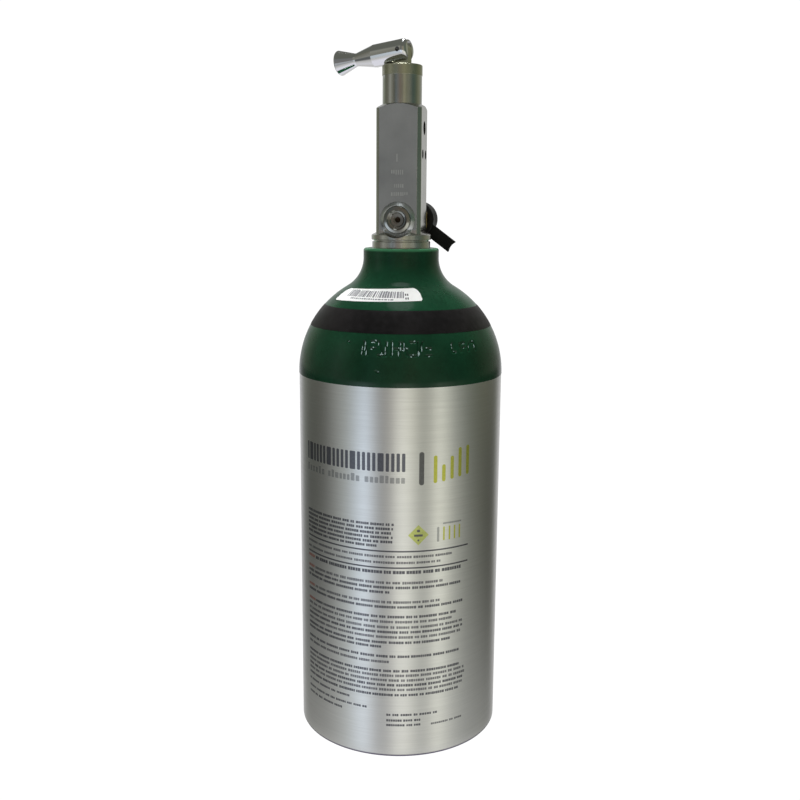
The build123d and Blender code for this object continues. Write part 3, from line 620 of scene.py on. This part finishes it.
def make_coat():
    strokes = stamped_strokes()
    turns = [math.radians(degrees) for degrees in spaced(COAT_TURNS)]
    heights = [z * MM for z in spaced(COAT_HEIGHTS)]
    rest = [
        *arc((NECK_R - NECK_RIM_R, NECK_TOP - NECK_RIM_R), NECK_RIM_R + COAT, 0, math.pi / 2, 8),
        (COAT_INNER_R, NECK_TOP + COAT),
        (COAT_INNER_R, NECK_TOP),
        (NECK_R - 2 * UNDER_COAT, NECK_TOP),
        (NECK_R - UNDER_COAT, NECK_TOP - UNDER_COAT),
        *arc((FILLET_X, FILLET_Z), NECK_FILLET_R + UNDER_COAT, math.pi, math.pi + BLEND_ANGLE, 10),
        *arc((SHOULDER_X, SHOULDER_Z), SHOULDER_R - UNDER_COAT, BLEND_ANGLE, 0.01, 16),
        (CYL_R - UNDER_COAT, COAT_FROM_Z),
        (CYL_R + 0.02 * MM, COAT_FROM_Z),
        (CYL_R + 0.12 * MM, COAT_FROM_Z + 0.02 * MM),
        (CYL_R + COAT, COAT_FROM_Z + 0.12 * MM),
    ]
    points = []
    for turn in turns:
        for z in heights:
            stamped = STAMPED_Z[0] < z < STAMPED_Z[1]
            points.append(on_skin(turn, z, -stamp_depth(turn, z, strokes) if stamped else 0.0))
        points += turned(turn, rest)
    faces = ring_faces(len(turns), len(heights) + len(rest))
    coat = add_piece("coat", points, faces, materials["green_coat"], smooth_angle=50)
    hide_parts("shoulder_coating")


def make_painted_stamp_glints():
    """Pale spots along the edges of the stamped marks: painted glints, in place of highlights in the grooves.
    """
    random.seed(23)
    # painted glints: small pale plates set on the coat beside the grooves
    marks = Marks(on_skin, 0.045 * MM, 0.05 * MM)
    for t0, z0, t1, z1 in stamped_strokes():
        faint = t0 > math.radians(35)
        upright = abs(z1 - z0) > abs(t1 - t0) * CYL_R
        length = max(abs(z1 - z0), abs(t1 - t0) * CYL_R)
        for share in (0.15, 0.5, 0.85):
            if random.random() < (0.75 if faint else 0.35):
                continue
            long = length * random.uniform(0.10, 0.22)
            short = random.uniform(0.12, 0.18) * MM if faint else random.uniform(0.2, 0.3) * MM
            aside = random.choice((-0.5, 0.5)) * MM
            turn, z = t0 + (t1 - t0) * share, z0 + (z1 - z0) * share
            if upright:
                turn, wide, tall = turn + aside / CYL_R, short / CYL_R, long
            else:
                z, wide, tall = z + aside, long / CYL_R, short
            lean = random.uniform(-0.5, 0.5) * short
            columns = []
            for x in (-0.97, -0.8, -0.4, 0, 0.4, 0.8, 0.97):  # an ellipse, leaning a little
                half, middle = tall * math.sqrt(1 - x * x), z + lean * x
                columns.append((turn + wide * x, middle - half, middle + half))
            marks.strip(columns)
    marks.piece("painted_stamp_glints", painted_stamp_glints)


# ---- Black band ----
def make_band():
    random.seed(7)
    waves = [(n, random.uniform(0, 2 * math.pi), random.uniform(0.3, 1.0) / n) for n in (3, 5, 8, 13, 21, 34)]

    def wander(turn, shift):
        return BAND_WANDER * sum(size * math.sin(n * (turn + shift) + phase) for n, phase, size in waves)

    columns, rows, rim = 288, 12, 0.05 * MM
    points = []
    for c in range(columns):
        turn = 2 * math.pi * c / columns
        low, high = BAND_Z[0] + wander(turn, 0.0), BAND_Z[1] + wander(turn, 1.7)
        levels = [low + (high - low) * i / rows for i in range(rows + 1)]
        points += [on_skin(turn, z, BAND - (rim if z in (low, high) else 0)) for z in levels]
        points += [on_skin(turn, z, -UNDER_SKIN) for z in reversed(levels)]
    faces = ring_faces(columns, 2 * (rows + 1))
    band = add_piece("band", points, faces, materials["black_coat"], smooth_angle=50)
    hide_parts("black_band")


# ---- White label with plain bars ----
def make_label():
    left, right = (math.radians(d) for d in LABEL_TURN)
    columns, rows = 121, 6
    points = []
    for c in range(columns):
        turn = left + (right - left) * (1 - math.cos(math.pi * c / (columns - 1))) / 2
        reach = min(turn - left, right - turn) * LABEL_AT_R
        cuts = []
        for corner in LABEL_CORNERS:
            short = max(0.0, corner - reach)
            cuts.append(corner - math.sqrt(corner * corner - short * short))
        tilt = (turn - (left + right) / 2) / (right - left) * LABEL_TILT
        low, high = LABEL_Z[0] + cuts[0] + tilt, LABEL_Z[1] - cuts[1] + tilt
        levels = [low + (high - low) * i / rows for i in range(rows + 1)]
        points += [on_skin(turn, z, LABEL) for z in levels]
        points += [on_skin(turn, z, -UNDER_SKIN) for z in reversed(levels)]
    ring = 2 * (rows + 1)
    faces = ring_faces(columns, ring, closed=False)
    faces += [tuple(range(ring)), tuple(reversed(range((columns - 1) * ring, columns * ring)))]
    label = add_piece("label", points, faces, materials["label_paper"], smooth_angle=40)
    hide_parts("barcode_label")


def make_label_bars():
    """Bars of no code, a row of short dashes below them, and two dark bars at the right end."""
    random.seed(12)
    bars, dark = (Marks(on_skin, LABEL + 0.035 * MM, 0.04 * MM - LABEL) for _ in range(2))
    turn = math.radians(-43)
    while turn < math.radians(13.5):
        width = math.radians(random.choice((0.7, 1.1, 1.7)))
        tall = 3.0 + random.uniform(-0.2, 0.2)
        for k in range(4):  # short lengths, so that they stay above the curved label
            bars.bar(turn, turn + width, (244.3 + tall * k / 4) * MM, (244.3 + tall * (k + 1) / 4) * MM)
        turn += width + math.radians(random.choice((0.5, 0.7, 1.2)))
    for across in (14.2, 16.0):
        dark.bar(math.radians(across), math.radians(across + 1.1), 243.7 * MM, 246.3 * MM)
    turn = math.radians(-36)
    while turn < math.radians(4):
        width = math.radians(random.uniform(0.8, 2.6))
        bars.bar(turn, turn + width, 243.2 * MM, 243.75 * MM)
        turn += width + math.radians(0.7)
    bars.piece("label_bars", label_ink)
    dark.piece("label_end_bars", label_dark)


# ---- Print on the wall ----
PRINT_LEFT = -62  # where most rows start, in degrees to the right of the camera
PRINT_AFTER_RED = -54.5  # where a row goes on after its red start
RED_TO = -55
HEADING_RIGHT = 3.5


def seen(degrees):
    """Turn round the wall of a place this many degrees to the right of the camera."""
    return math.radians(degrees) + CAMERA_AZIMUTH


def word_row(marks, start, end, z, height, heavy=1.0):
    """A row of small blocks grouped like words, from start to end degrees; z and height in mm."""
    turn, stop = seen(start), seen(end)
    while turn < stop:
        for _ in range(random.randint(2, 9)):
            width = random.uniform(0.7, 1.15) * heavy * TURN_PER_MM
            if turn + width > stop:
                return
            tall = height * random.uniform(0.88, 1.05)
            marks.bar(turn, turn + width, (z - tall / 2) * MM, (z + tall / 2) * MM)
            turn += width + random.uniform(0.16, 0.28) * TURN_PER_MM
        turn += random.uniform(0.55, 0.95) * TURN_PER_MM


def make_heading():
    """Plain bars: dark blocks over a pale row, one tall bar, then yellow bars."""
    slate, tall, grey, yellow = (Marks() for _ in range(4))
    start, stop = seen(PRINT_LEFT), seen(HEADING_RIGHT)
    narrow, wide, gap = 1.71, 3.23, 1.05
    turn = start
    for k in range(22):
        width = wide if k % 5 == 1 else narrow
        if turn + width * TURN_PER_MM > stop:
            break
        slate.rounded(turn + width / 2 * TURN_PER_MM, width * MM, 158.0 * MM, 167.6 * MM, 0.5 * MM)
        turn += (width + gap) * TURN_PER_MM
    random.seed(3)
    turn = start
    while turn < stop:
        for _ in range(random.randint(5, 8)):
            width = random.uniform(1.5, 2.3)
            if turn + width * TURN_PER_MM > stop:
                break
            top = 155.9 if random.random() < 0.3 else 154.9
            grey.rounded(turn + width / 2 * TURN_PER_MM, width * MM, 151.9 * MM, top * MM, 0.3 * MM)
            turn += (width + 0.75) * TURN_PER_MM
        turn += 2.2 * TURN_PER_MM
    tall.rounded(seen(11.6), 2.6 * MM, 150.8 * MM, 168.2 * MM, 1.2 * MM)
    for degrees, z_low, z_high in (  # each yellow bar's place, foot and top
            (19.2, 151.5, 166), (24.0, 152, 161), (29.0, 152.8, 165), (34.0, 153.4, 169), (39.2, 154, 169.6)):
        yellow.rounded(seen(degrees), 2.0 * MM, z_low * MM, z_high * MM, 0.95 * MM)
    tall.piece("heading_tall_bar", print_mid)
    slate.piece("heading_bars", print_slate)
    grey.piece("heading_row", print_grey)
    yellow.piece("heading_yellow", print_yellow)


def make_panel():
    """Small plain marks beside the text: a diamond and a few bars."""
    pale, yellow, grey = (Marks() for _ in range(3))
    dark = Marks(lift=0.035 * MM)  # it lies on the diamond
    middle, middle_z, half, steps = seen(10.2), 124.3, 5.4, 16
    columns = []
    for i in range(steps + 1):
        share = -1 + 2 * i / steps
        tall = half * (1 - abs(share)) + 0.05
        columns.append((middle + share * half * TURN_PER_MM, (middle_z - tall) * MM, (middle_z + tall) * MM))
    pale.strip(columns)
    for width, z_low, z_high in ((4.6, 123.5, 124.7), (1.6, 125.9, 127.2), (1.0, 121.0, 122.0)):
        dark.rounded(middle, width * MM, z_low * MM, z_high * MM, 0.3 * MM)
    for degrees in (24.6, 28.0, 31.2, 34.4):
        yellow.rounded(seen(degrees), 0.9 * MM, 120.3 * MM, 127.8 * MM, 0.4 * MM)
    grey.rounded(seen(21.2), 1.2 * MM, 119.9 * MM, 127.9 * MM, 0.5 * MM)
    grey.bar(seen(24), seen(35.5), 129.1 * MM, 129.9 * MM)
    pale.piece("panel_diamond", print_pale)
    dark.piece("panel_dark", print_mid)
    yellow.piece("panel_yellow", print_yellow)
    grey.piece("panel_grey", print_grey)


def make_text():
    """Rows of small blocks in place of text, between two ruled lines and below them."""
    random.seed(20)
    black, soft, red = Marks(), Marks(), Marks()
    for i, end in enumerate((-2.7, -2.9, -3.0, -2.8, -2.7, -11.5)):
        word_row(black, PRINT_LEFT, end, 130.0 - 2.33 * i, 1.35, 1.15)
    for z in (115.6, 106.7):
        black.bar(seen(PRINT_LEFT), seen(40.6), (z - 0.4) * MM, (z + 0.4) * MM)
    word_row(soft, PRINT_LEFT, 30, 112.7, 1.25, 1.1)
    word_row(soft, PRINT_LEFT, 24, 109.5, 1.25, 1.1)
    word_row(black, -54, 38, 104.3, 1.75, 1.4)
    for z, end, marks, lead in (  # height of the row, where it ends, and whether it starts in red
            (98.5, 25.5, soft, True), (95.9, 36.5, black, False), (93.3, -5, black, False),
            (87.9, 23.5, soft, True), (85.2, 37.5, black, False), (79.8, 33, black, True),
            (77.0, 31, soft, False), (74.0, 38.5, soft, False), (71.3, 38, black, False),
            (68.5, 36.5, soft, False), (65.5, 30, black, False), (63.0, -9, black, False),
            (57.7, 37, black, False), (54.6, -5, soft, False), (49.5, 36.5, black, False),
            (46.9, 39.5, soft, False), (44.2, 40, soft, False), (41.5, 39, black, False),
            (38.9, 38.5, soft, False), (35.9, 37, black, False)):
        word_row(marks, PRINT_AFTER_RED if lead else PRINT_LEFT, end, z, 1.4, 1.1)
        if lead:
            word_row(red, PRINT_LEFT, RED_TO, z, 1.5, 1.2)
    word_row(red, PRINT_LEFT, RED_TO, 104.3, 1.6, 1.3)
    for z, end in ((32.2, -27), (27.9, -17), (24.4, -32)):
        word_row(black, PRINT_LEFT, end, z, 1.2)
    for z, end in ((24.5, 22.5), (21.3, 13), (18.6, 12.8)):
        word_row(black, -6.5, end, z, 1.25, 1.1)
    word_row(soft, 18.5, 38.5, 18.2, 1.1)
    black.piece("text_black", print_black)
    soft.piece("text_soft", print_soft)
    red.piece("text_red", print_red)


def make_post_marks():
    """Faint etched dashes on the valve's front face, in three rows under one upright bar."""
    random.seed(5)
    marks = Marks(on_post, 0.012 * MM, 0.03 * MM, 1.0)
    marks.bar(-0.9 * MM, -0.2 * MM, 313.6 * MM, 317.6 * MM)
    for z, left, right, tall in ((308.2, -3.6, 3.2, 2.4), (301.2, -1.9, 2.7, 1.9), (297.0, -3.6, 4.6, 1.9)):
        x = left
        while x < right:
            width = random.uniform(0.5, 0.8)
            low = random.choice((0.0, 0.0, 0.5))
            marks.bar(x * MM, (x + width) * MM, (z - tall / 2 + low) * MM, (z + tall / 2) * MM)
            x += width + random.uniform(0.35, 0.6)
    marks.piece("post_marks", etched)


def make_plug_collar():
    """A bright conical ring round the safety plug, in its countersink."""
    outline = [(r * MM, y * MM) for r, y in (  # radius, and distance in front of the cylinder's axis
        (7.36, 10.3), (7.36, 13.0), (7.6, 13.12), (9.2, 11.55), (9.35, 11.3), (9.35, 11.03), (7.7, 10.3))]
    columns = 96
    points = []
    for c in range(columns):
        turn = 2 * math.pi * c / columns
        points += [(-r * math.sin(turn), -y, PLUG_Z + r * math.cos(turn)) for r, y in outline]
    add_piece("plug_collar", points, ring_faces(columns, len(outline)), satin_chrome)


def finish_cad_nodes():
    """Every CAD node gets its slot's material, and the safety plug a darker chrome."""
    for part in frame["record"]["subparts"]:
        plug = part["node"] == "safety_plug"
        slots = frame["nodes"][part["node"]].data.materials
        slots.clear()
        slots.append(dark_chrome if plug else materials[part["material_slot"]])


# ---- Stage and lights ----
WHITE_STRENGTH = 1.05  # of the floor and of the backdrop behind it
FLOOR_R = 0.45
FLOOR_Z = -0.3 * MM
LIGHT_DISTANCE = 1.0
LIGHT_AIM_Z = 0.22


def make_stage():
    """A white floor, which only the camera sees."""
    bpy.ops.mesh.primitive_circle_add(
        vertices=128, radius=FLOOR_R, fill_type="NGON", location=(0, 0, FLOOR_Z))
    floor = bpy.context.object
    floor.name = "floor"
    g = Graph("white_floor", 0.9, 0.0, (0, 0, 0))
    g.set("Specular IOR Level", 0.0)
    g.set("Emission Color", (1, 1, 1, 1))
    g.set("Emission Strength", WHITE_STRENGTH)
    floor.data.materials.append(g.material)
    floor.visible_glossy = False
    floor.visible_diffuse = False


# Degrees round from the camera, towards its right, and the colour of the room in that direction,
# for what the metal sees level or below, and for what it sees above.
LOW_RING = (
    (-180, (0.57, 0.57, 0.57)), (-158, (0.50, 0.50, 0.52)), (-143, (0.13, 0.133, 0.13)),
    (-128, (0.045, 0.047, 0.045)), (-110, (0.034, 0.036, 0.034)), (-94, (0.045, 0.047, 0.046)),
    (-78, (0.12, 0.127, 0.125)), (-62, (0.32, 0.35, 0.36)), (-50, (0.59, 0.66, 0.74)),
    (-40, (0.86, 0.97, 1.12)), (-31, (0.56, 0.60, 0.65)), (-21, (0.205, 0.21, 0.21)),
    (-11, (0.31, 0.31, 0.30)), (-2, (0.84, 0.84, 0.77)), (6, (0.97, 0.97, 0.89)),
    (14, (0.67, 0.67, 0.60)), (25, (0.28, 0.285, 0.255)), (35, (0.44, 0.44, 0.39)),
    (44, (0.91, 0.91, 0.80)), (52, (0.68, 0.68, 0.59)), (64, (0.33, 0.33, 0.285)),
    (82, (0.125, 0.127, 0.107)), (100, (0.055, 0.056, 0.045)), (122, (0.030, 0.031, 0.025)),
    (138, (0.055, 0.055, 0.048)), (152, (0.36, 0.36, 0.36)), (166, (0.57, 0.57, 0.57)))
HIGH_RING = (
    (-180, (0.35, 0.35, 0.35)), (-152, (0.33, 0.34, 0.33)), (-134, (0.23, 0.25, 0.195)),
    (-118, (0.125, 0.13, 0.105)), (-100, (0.105, 0.105, 0.08)), (-86, (0.16, 0.16, 0.14)),
    (-76, (0.28, 0.285, 0.26)), (-66, (0.20, 0.20, 0.17)), (-48, (0.08, 0.08, 0.062)),
    (-36, (0.11, 0.129, 0.135)), (-24, (0.143, 0.137, 0.131)), (-12, (0.159, 0.131, 0.105)),
    (0, (0.157, 0.146, 0.115)), (12, (0.25, 0.24, 0.165)), (24, (0.16, 0.162, 0.117)),
    (36, (0.157, 0.159, 0.121)), (48, (0.118, 0.129, 0.103)), (62, (0.06, 0.082, 0.07)),
    (76, (0.064, 0.088, 0.068)), (92, (0.09, 0.105, 0.07)), (110, (0.162, 0.166, 0.115)),
    (134, (0.21, 0.22, 0.18)), (156, (0.35, 0.35, 0.34)))
STEEP_UP = (0.095, 0.10, 0.085)
OVERHEAD = (0.95, 1.0, 1.0)
MID_LOW = (0.44, 0.44, 0.43)
STEEP_DOWN = (0.62, 0.62, 0.67)
ROOM_STRENGTH = 1.4


def make_sky():
    """The room as the metal sees it: bright and dark stretches round the object. The camera sees white."""
    world = bpy.data.worlds.new("studio")
    bpy.context.scene.world = world
    world.use_nodes = True
    tree = world.node_tree
    tree.nodes.clear()

    def node(kind, *values, **settings):
        made = tree.nodes.new(kind)
        for key, value in settings.items():
            setattr(made, key, value)
        for target, value in zip(made.inputs, values):
            if isinstance(value, bpy.types.NodeSocket):
                tree.links.new(value, target)
            else:
                target.default_value = value
        return made

    def calc(operation, *values):
        return node("ShaderNodeMath", *values, operation=operation).outputs[0]

    def blend(factor, first, second):
        made = node("ShaderNodeMix", factor, data_type="RGBA")
        for target, color in ((made.inputs[6], first), (made.inputs[7], second)):
            if isinstance(color, bpy.types.NodeSocket):
                tree.links.new(color, target)
            else:
                target.default_value = (*color, 1)
        return made.outputs[2]

    def smooth(value, low, high):
        made = node("ShaderNodeMapRange", value, low, high, 0.0, 1.0, interpolation_type="SMOOTHSTEP")
        return made.outputs[0]

    way = node("ShaderNodeSeparateXYZ", node("ShaderNodeTexCoord").outputs["Generated"])
    turn = calc("ARCTAN2", way.outputs[0], calc("MULTIPLY", way.outputs[1], -1.0))
    share = calc("DIVIDE", calc("SUBTRACT", turn, CAMERA_AZIMUTH - math.pi), 2 * math.pi)
    share = calc("WRAP", share, 1.0, 0.0)

    def ring(colors):
        made = node("ShaderNodeValToRGB", share)
        stops = made.color_ramp.elements
        for degrees, color in colors:
            at = (degrees + 180) / 360
            stop = stops[0] if degrees == -180 else stops.new(at)
            stop.position = at
            stop.color = (*color, 1)
        stops[len(stops) - 1].color = (*colors[0][1], 1)  # the ramp's own last stop closes the ring
        return made.outputs[0]

    height = way.outputs[2]
    low = blend(smooth(height, -0.36, -0.60), ring(LOW_RING), MID_LOW)
    low = blend(smooth(height, -0.60, -0.85), low, STEEP_DOWN)
    high = blend(smooth(height, 0.42, 0.62), ring(HIGH_RING), STEEP_UP)
    high = blend(smooth(height, 0.975, 0.992), high, OVERHEAD)
    room = node("ShaderNodeBackground", blend(smooth(height, -0.13, -0.07), low, high), ROOM_STRENGTH)
    white = node("ShaderNodeBackground", (1, 1, 1, 1), WHITE_STRENGTH)
    seen_by = node("ShaderNodeLightPath").outputs["Is Camera Ray"]
    mixed = node("ShaderNodeMixShader", seen_by, room.outputs[0], white.outputs[0])
    node("ShaderNodeOutputWorld", mixed.outputs[0])


def soft_light(name, azimuth, elevation, size, power, glints=False):
    """A round area light that looks at the shoulder, azimuth degrees round from the camera."""
    turn = CAMERA_AZIMUTH + math.radians(azimuth)
    lift = math.radians(elevation)
    way = Vector((math.sin(turn) * math.cos(lift), -math.cos(turn) * math.cos(lift), math.sin(lift)))
    data = bpy.data.lights.new(name, "AREA")
    data.shape = "DISK"
    data.size = size
    data.energy = power
    light = bpy.data.objects.new(name, data)
    light.location = Vector((0, 0, LIGHT_AIM_Z)) + way * LIGHT_DISTANCE
    light.rotation_euler = (-way).to_track_quat("-Z", "Y").to_euler()
    light.visible_glossy = glints
    bpy.context.scene.collection.objects.link(light)


make_camera()
make_stage()
make_sky()
soft_light("key", azimuth=30, elevation=98, size=0.5, power=11.5)
soft_light("glint", azimuth=0, elevation=107, size=0.24, power=2.6, glints=True)
soft_light("back", azimuth=175, elevation=45, size=0.7, power=3)
make_shell()
make_coat()
make_painted_stamp_glints()
make_band()
make_label()
make_label_bars()
make_heading()
make_panel()
make_text()
make_post_marks()
make_plug_collar()
finish_cad_nodes()
bpy.context.scene.view_settings.view_transform = "Standard"
